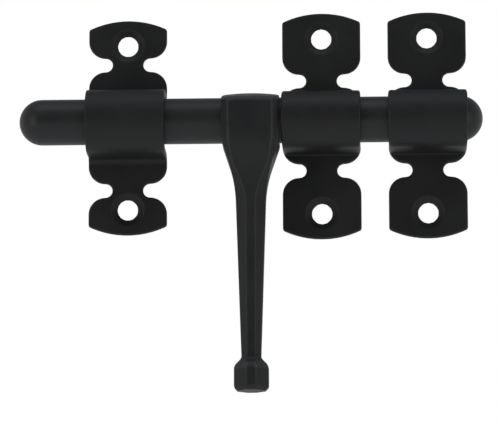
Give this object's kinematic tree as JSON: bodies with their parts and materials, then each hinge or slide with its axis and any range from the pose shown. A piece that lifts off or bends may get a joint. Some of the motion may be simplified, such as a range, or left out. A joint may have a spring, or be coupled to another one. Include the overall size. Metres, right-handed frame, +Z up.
{
  "type": "round slide bolt",
  "caption": "Surface-mounted round slide bolt: a domed bar with a faceted drop lever, held by three pressed saddle straps: two guides and a keeper.",
  "frame": {"origin": "middle of the four screw holes of the two guide straps, on the door's face", "axes": "+X along the bar towards the outer guide, +Y into the door, +Z up; the lever hangs down -Z and the bolt is thrown towards -X"},
  "size_m": [0.162, 0.0232, 0.1356],
  "materials": {
    "bar_coat": "satin black powder coat on drawn steel",
    "casting_coat": "satin black powder coat on a casting",
    "strap_coat": "satin black powder coat on pressed sheet",
    "screw_steel": "blackened steel"
  },
  "bodies": {
    "guides": {"guide_strap_inner": "strap_coat", "guide_strap_outer": "strap_coat"},
    "bolt": {"bolt_bar": "bar_coat"},
    "handle": {"handle": "casting_coat", "handle_set_screw": "screw_steel"},
    "keeper": {"keeper_strap": "strap_coat"}
  },
  "joints": [
    {"name": "bolt_slide", "type": "slide", "parent": "guides", "child": "bolt", "axis": [-1, 0, 0], "range_m": [0, 0.0195]},
    {"name": "handle_turn", "type": "hinge", "parent": "bolt", "child": "handle", "pos_m": [-0.0432, -0.0119, 0], "axis": [-1, 0, 0], "range_deg": [-2, 182]},
    {"name": "keeper_slide", "type": "slide", "parent": "guides", "child": "keeper", "axis": [-1, 0, 0], "range_m": [0, 0.06]}
  ]
}
